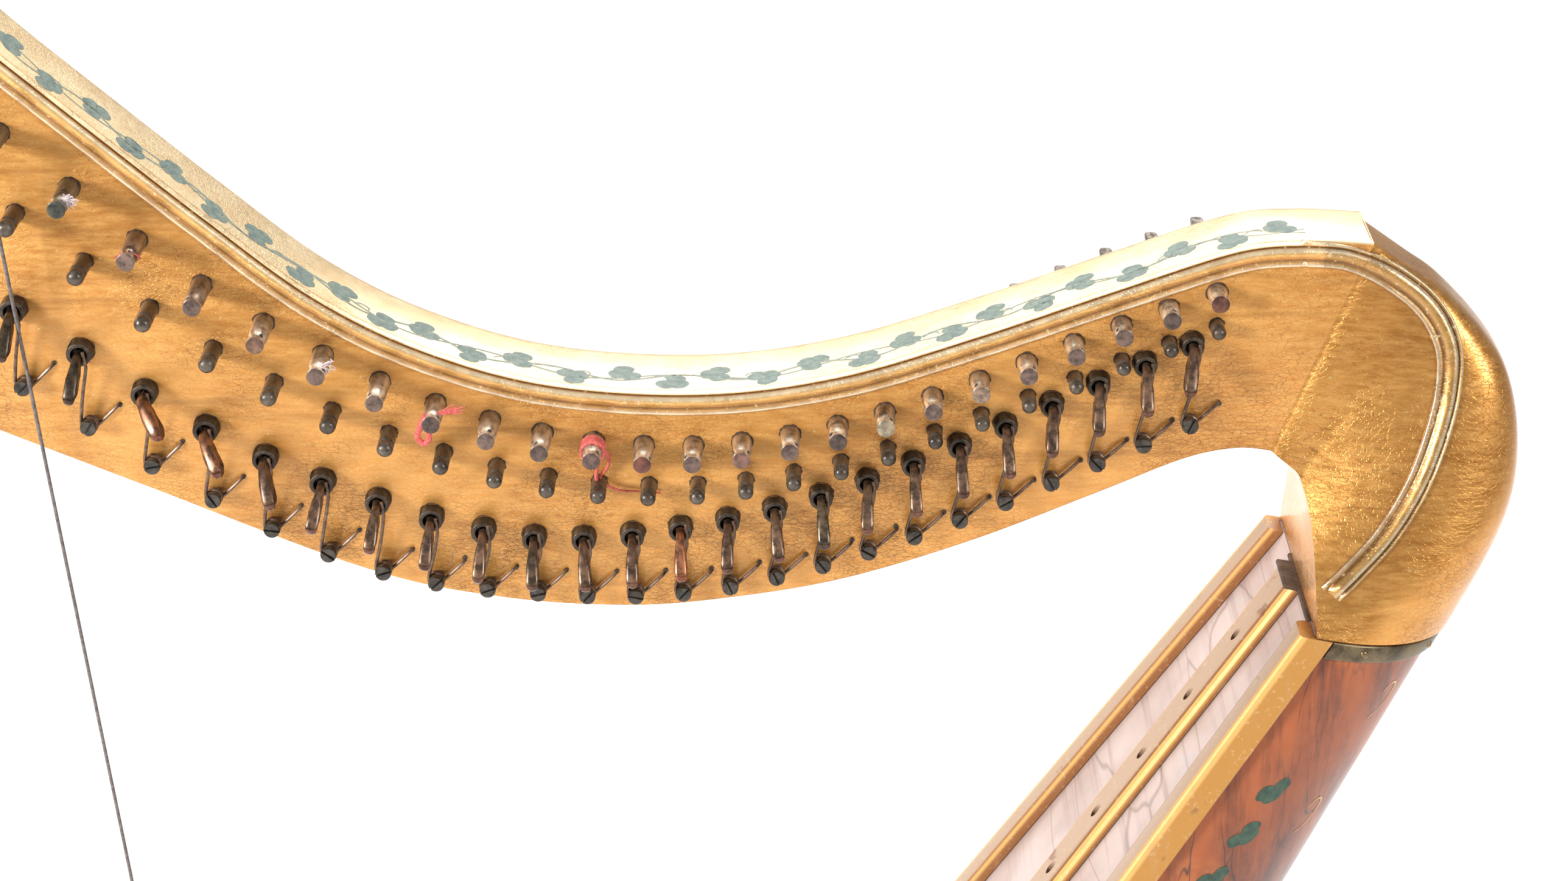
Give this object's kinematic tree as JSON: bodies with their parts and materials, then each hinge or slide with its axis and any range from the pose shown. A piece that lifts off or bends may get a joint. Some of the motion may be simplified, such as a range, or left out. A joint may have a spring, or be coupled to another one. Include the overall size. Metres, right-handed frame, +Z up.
{
  "type": "small lever harp",
  "caption": "Small gilt harp with a curved neck, bowed pillar, tapering soundbox, turning tuning pins and hand-turned semitone blades; one string left.",
  "frame": {"origin": "on the floor, under the middle of the overall box", "axes": "+Z up; +X from the pillar towards the soundbox; +Y from the string side of the neck to the tuning-key side"},
  "size_m": [0.4842, 0.2144, 0.7438],
  "materials": {
    "gilding": "gold leaf under crazed, darkened varnish on carved wood",
    "rosewood": "figured red-brown wood under gloss varnish, with small painted leaf sprigs",
    "spruce": "pale pinkish painted softwood, grain lines across",
    "pale_wood": "pale painted wood with gilt edges",
    "plain_wood": "bare wood",
    "nickel": "worn, dark-capped",
    "bronze": "browned, dark",
    "tarnished_brass": "tarnished strap",
    "string": "dark gut"
  },
  "bodies": {
    "harp_frame": {"neck": "gilding", "shoulder": "gilding", "pillar": "gilding", "soundbox_shell": "rosewood", "soundboard": "spruce", "string_rib": "pale_wood", "edge_strip_near": "pale_wood", "edge_strip_far": "pale_wood", "inner_string_bar": "plain_wood", "shoulder_band": "tarnished_brass", "base": "gilding", "bass_string": "string"},
    "tuning_pin_01": {"tuning_pin_01": "nickel"},
    "semitone_blade_01": {"semitone_blade_01": "bronze"},
    "tuning_pin_02": {"tuning_pin_02": "nickel"},
    "semitone_blade_02": {"semitone_blade_02": "bronze"},
    "tuning_pin_03": {"tuning_pin_03": "nickel"},
    "semitone_blade_03": {"semitone_blade_03": "bronze"},
    "tuning_pin_04": {"tuning_pin_04": "nickel"},
    "semitone_blade_04": {"semitone_blade_04": "bronze"},
    "tuning_pin_05": {"tuning_pin_05": "nickel"},
    "semitone_blade_05": {"semitone_blade_05": "bronze"},
    "tuning_pin_06": {"tuning_pin_06": "nickel"},
    "semitone_blade_06": {"semitone_blade_06": "bronze"},
    "tuning_pin_07": {"tuning_pin_07": "nickel"},
    "semitone_blade_07": {"semitone_blade_07": "bronze"},
    "tuning_pin_08": {"tuning_pin_08": "nickel"},
    "semitone_blade_08": {"semitone_blade_08": "bronze"},
    "tuning_pin_09": {"tuning_pin_09": "nickel"},
    "semitone_blade_09": {"semitone_blade_09": "bronze"},
    "tuning_pin_10": {"tuning_pin_10": "nickel"},
    "semitone_blade_10": {"semitone_blade_10": "bronze"},
    "tuning_pin_11": {"tuning_pin_11": "nickel"},
    "semitone_blade_11": {"semitone_blade_11": "bronze"},
    "tuning_pin_12": {"tuning_pin_12": "nickel"},
    "semitone_blade_12": {"semitone_blade_12": "bronze"},
    "tuning_pin_13": {"tuning_pin_13": "nickel"},
    "semitone_blade_13": {"semitone_blade_13": "bronze"},
    "tuning_pin_14": {"tuning_pin_14": "nickel"},
    "semitone_blade_14": {"semitone_blade_14": "bronze"},
    "tuning_pin_15": {"tuning_pin_15": "nickel"},
    "semitone_blade_15": {"semitone_blade_15": "bronze"},
    "tuning_pin_16": {"tuning_pin_16": "nickel"},
    "semitone_blade_16": {"semitone_blade_16": "bronze"},
    "tuning_pin_17": {"tuning_pin_17": "nickel"},
    "semitone_blade_17": {"semitone_blade_17": "bronze"},
    "tuning_pin_18": {"tuning_pin_18": "nickel"},
    "semitone_blade_18": {"semitone_blade_18": "bronze"},
    "tuning_pin_19": {"tuning_pin_19": "nickel"},
    "semitone_blade_19": {"semitone_blade_19": "bronze"},
    "tuning_pin_20": {"tuning_pin_20": "nickel"},
    "semitone_blade_20": {"semitone_blade_20": "bronze"},
    "tuning_pin_21": {"tuning_pin_21": "nickel"},
    "semitone_blade_21": {"semitone_blade_21": "bronze"},
    "tuning_pin_22": {"tuning_pin_22": "nickel"},
    "semitone_blade_22": {"semitone_blade_22": "bronze"},
    "tuning_pin_23": {"tuning_pin_23": "nickel"},
    "semitone_blade_23": {"semitone_blade_23": "bronze"},
    "tuning_pin_24": {"tuning_pin_24": "nickel"},
    "semitone_blade_24": {"semitone_blade_24": "bronze"}
  },
  "joints": [
    {"name": "tuning_pin_01_turn", "type": "hinge", "parent": "harp_frame", "child": "tuning_pin_01", "pos_m": [-0.1522, 0, 0.676], "axis": [0, -1, 0], "continuous": true},
    {"name": "tuning_pin_02_turn", "type": "hinge", "parent": "harp_frame", "child": "tuning_pin_02", "pos_m": [-0.13567, 0, 0.66122], "axis": [0, -1, 0], "continuous": true},
    {"name": "tuning_pin_03_turn", "type": "hinge", "parent": "harp_frame", "child": "tuning_pin_03", "pos_m": [-0.11955, 0, 0.64688], "axis": [0, -1, 0], "continuous": true},
    {"name": "tuning_pin_04_turn", "type": "hinge", "parent": "harp_frame", "child": "tuning_pin_04", "pos_m": [-0.10384, 0, 0.63429], "axis": [0, -1, 0], "continuous": true},
    {"name": "tuning_pin_05_turn", "type": "hinge", "parent": "harp_frame", "child": "tuning_pin_05", "pos_m": [-0.0885, 0, 0.62373], "axis": [0, -1, 0], "continuous": true},
    {"name": "tuning_pin_06_turn", "type": "hinge", "parent": "harp_frame", "child": "tuning_pin_06", "pos_m": [-0.07351, 0, 0.6147], "axis": [0, -1, 0], "continuous": true},
    {"name": "tuning_pin_07_turn", "type": "hinge", "parent": "harp_frame", "child": "tuning_pin_07", "pos_m": [-0.05887, 0, 0.60703], "axis": [0, -1, 0], "continuous": true},
    {"name": "tuning_pin_08_turn", "type": "hinge", "parent": "harp_frame", "child": "tuning_pin_08", "pos_m": [-0.04453, 0, 0.60076], "axis": [0, -1, 0], "continuous": true},
    {"name": "tuning_pin_09_turn", "type": "hinge", "parent": "harp_frame", "child": "tuning_pin_09", "pos_m": [-0.03049, 0, 0.5959], "axis": [0, -1, 0], "continuous": true},
    {"name": "tuning_pin_10_turn", "type": "hinge", "parent": "harp_frame", "child": "tuning_pin_10", "pos_m": [-0.01672, 0, 0.59228], "axis": [0, -1, 0], "continuous": true},
    {"name": "tuning_pin_11_turn", "type": "hinge", "parent": "harp_frame", "child": "tuning_pin_11", "pos_m": [-0.0032, 0, 0.58987], "axis": [0, -1, 0], "continuous": true},
    {"name": "tuning_pin_12_turn", "type": "hinge", "parent": "harp_frame", "child": "tuning_pin_12", "pos_m": [0.0101, 0, 0.58868], "axis": [0, -1, 0], "continuous": true},
    {"name": "tuning_pin_13_turn", "type": "hinge", "parent": "harp_frame", "child": "tuning_pin_13", "pos_m": [0.02318, 0, 0.5886], "axis": [0, -1, 0], "continuous": true},
    {"name": "tuning_pin_14_turn", "type": "hinge", "parent": "harp_frame", "child": "tuning_pin_14", "pos_m": [0.03608, 0, 0.58967], "axis": [0, -1, 0], "continuous": true},
    {"name": "tuning_pin_15_turn", "type": "hinge", "parent": "harp_frame", "child": "tuning_pin_15", "pos_m": [0.04881, 0, 0.5918], "axis": [0, -1, 0], "continuous": true},
    {"name": "tuning_pin_16_turn", "type": "hinge", "parent": "harp_frame", "child": "tuning_pin_16", "pos_m": [0.06141, 0, 0.59467], "axis": [0, -1, 0], "continuous": true},
    {"name": "tuning_pin_17_turn", "type": "hinge", "parent": "harp_frame", "child": "tuning_pin_17", "pos_m": [0.07387, 0, 0.59835], "axis": [0, -1, 0], "continuous": true},
    {"name": "tuning_pin_18_turn", "type": "hinge", "parent": "harp_frame", "child": "tuning_pin_18", "pos_m": [0.08624, 0, 0.60289], "axis": [0, -1, 0], "continuous": true},
    {"name": "tuning_pin_19_turn", "type": "hinge", "parent": "harp_frame", "child": "tuning_pin_19", "pos_m": [0.09853, 0, 0.60774], "axis": [0, -1, 0], "continuous": true},
    {"name": "tuning_pin_20_turn", "type": "hinge", "parent": "harp_frame", "child": "tuning_pin_20", "pos_m": [0.11076, 0, 0.61281], "axis": [0, -1, 0], "continuous": true},
    {"name": "tuning_pin_21_turn", "type": "hinge", "parent": "harp_frame", "child": "tuning_pin_21", "pos_m": [0.12294, 0, 0.61817], "axis": [0, -1, 0], "continuous": true},
    {"name": "tuning_pin_22_turn", "type": "hinge", "parent": "harp_frame", "child": "tuning_pin_22", "pos_m": [0.13512, 0, 0.62337], "axis": [0, -1, 0], "continuous": true},
    {"name": "tuning_pin_23_turn", "type": "hinge", "parent": "harp_frame", "child": "tuning_pin_23", "pos_m": [0.1473, 0, 0.62803], "axis": [0, -1, 0], "continuous": true},
    {"name": "tuning_pin_24_turn", "type": "hinge", "parent": "harp_frame", "child": "tuning_pin_24", "pos_m": [0.1595, 0, 0.6325], "axis": [0, -1, 0], "continuous": true},
    {"name": "semitone_blade_01_turn", "type": "hinge", "parent": "harp_frame", "child": "semitone_blade_01", "pos_m": [-0.153, -0.01, 0.628], "axis": [0, -1, 0], "range_deg": [-6, 8]},
    {"name": "semitone_blade_02_turn", "type": "hinge", "parent": "harp_frame", "child": "semitone_blade_02", "pos_m": [-0.13674, -0.01, 0.61593], "axis": [0, -1, 0], "range_deg": [-6, 69]},
    {"name": "semitone_blade_03_turn", "type": "hinge", "parent": "harp_frame", "child": "semitone_blade_03", "pos_m": [-0.12089, -0.01, 0.60418], "axis": [0, -1, 0], "range_deg": [-50, 25]},
    {"name": "semitone_blade_04_turn", "type": "hinge", "parent": "harp_frame", "child": "semitone_blade_04", "pos_m": [-0.10543, -0.01, 0.5939], "axis": [0, -1, 0], "range_deg": [-45, 30]},
    {"name": "semitone_blade_05_turn", "type": "hinge", "parent": "harp_frame", "child": "semitone_blade_05", "pos_m": [-0.09034, -0.01, 0.58546], "axis": [0, -1, 0], "range_deg": [-31, 44]},
    {"name": "semitone_blade_06_turn", "type": "hinge", "parent": "harp_frame", "child": "semitone_blade_06", "pos_m": [-0.0756, -0.01, 0.57847], "axis": [0, -1, 0], "range_deg": [-2, 73]},
    {"name": "semitone_blade_07_turn", "type": "hinge", "parent": "harp_frame", "child": "semitone_blade_07", "pos_m": [-0.06119, -0.01, 0.57268], "axis": [0, -1, 0], "range_deg": [-6, 69]},
    {"name": "semitone_blade_08_turn", "type": "hinge", "parent": "harp_frame", "child": "semitone_blade_08", "pos_m": [-0.04709, -0.01, 0.56784], "axis": [0, -1, 0], "range_deg": [-8, 67]},
    {"name": "semitone_blade_09_turn", "type": "hinge", "parent": "harp_frame", "child": "semitone_blade_09", "pos_m": [-0.03328, -0.01, 0.56414], "axis": [0, -1, 0], "range_deg": [-10, 65]},
    {"name": "semitone_blade_10_turn", "type": "hinge", "parent": "harp_frame", "child": "semitone_blade_10", "pos_m": [-0.01973, -0.01, 0.56194], "axis": [0, -1, 0], "range_deg": [-15, 60]},
    {"name": "semitone_blade_11_turn", "type": "hinge", "parent": "harp_frame", "child": "semitone_blade_11", "pos_m": [-0.00643, -0.01, 0.56165], "axis": [0, -1, 0], "range_deg": [-21, 54]},
    {"name": "semitone_blade_12_turn", "type": "hinge", "parent": "harp_frame", "child": "semitone_blade_12", "pos_m": [0.00664, -0.01, 0.56285], "axis": [0, -1, 0], "range_deg": [-17, 58]},
    {"name": "semitone_blade_13_turn", "type": "hinge", "parent": "harp_frame", "child": "semitone_blade_13", "pos_m": [0.01951, -0.01, 0.56474], "axis": [0, -1, 0], "range_deg": [-18, 57]},
    {"name": "semitone_blade_14_turn", "type": "hinge", "parent": "harp_frame", "child": "semitone_blade_14", "pos_m": [0.0322, -0.01, 0.56723], "axis": [0, -1, 0], "range_deg": [-15, 60]},
    {"name": "semitone_blade_15_turn", "type": "hinge", "parent": "harp_frame", "child": "semitone_blade_15", "pos_m": [0.04473, -0.01, 0.57049], "axis": [0, -1, 0], "range_deg": [-23, 52]},
    {"name": "semitone_blade_16_turn", "type": "hinge", "parent": "harp_frame", "child": "semitone_blade_16", "pos_m": [0.05711, -0.01, 0.57437], "axis": [0, -1, 0], "range_deg": [-21, 54]},
    {"name": "semitone_blade_17_turn", "type": "hinge", "parent": "harp_frame", "child": "semitone_blade_17", "pos_m": [0.06938, -0.01, 0.57892], "axis": [0, -1, 0], "range_deg": [-14, 61]},
    {"name": "semitone_blade_18_turn", "type": "hinge", "parent": "harp_frame", "child": "semitone_blade_18", "pos_m": [0.08154, -0.01, 0.58401], "axis": [0, -1, 0], "range_deg": [-20, 55]},
    {"name": "semitone_blade_19_turn", "type": "hinge", "parent": "harp_frame", "child": "semitone_blade_19", "pos_m": [0.09362, -0.01, 0.58939], "axis": [0, -1, 0], "range_deg": [-20, 55]},
    {"name": "semitone_blade_20_turn", "type": "hinge", "parent": "harp_frame", "child": "semitone_blade_20", "pos_m": [0.10565, -0.01, 0.5952], "axis": [0, -1, 0], "range_deg": [-20, 55]},
    {"name": "semitone_blade_21_turn", "type": "hinge", "parent": "harp_frame", "child": "semitone_blade_21", "pos_m": [0.11764, -0.01, 0.60136], "axis": [0, -1, 0], "range_deg": [-12, 63]},
    {"name": "semitone_blade_22_turn", "type": "hinge", "parent": "harp_frame", "child": "semitone_blade_22", "pos_m": [0.12962, -0.01, 0.60741], "axis": [0, -1, 0], "range_deg": [-12, 63]},
    {"name": "semitone_blade_23_turn", "type": "hinge", "parent": "harp_frame", "child": "semitone_blade_23", "pos_m": [0.1416, -0.01, 0.61307], "axis": [0, -1, 0], "range_deg": [-15, 60]},
    {"name": "semitone_blade_24_turn", "type": "hinge", "parent": "harp_frame", "child": "semitone_blade_24", "pos_m": [0.1536, -0.01, 0.6186], "axis": [0, -1, 0], "range_deg": [-6, 69]}
  ]
}
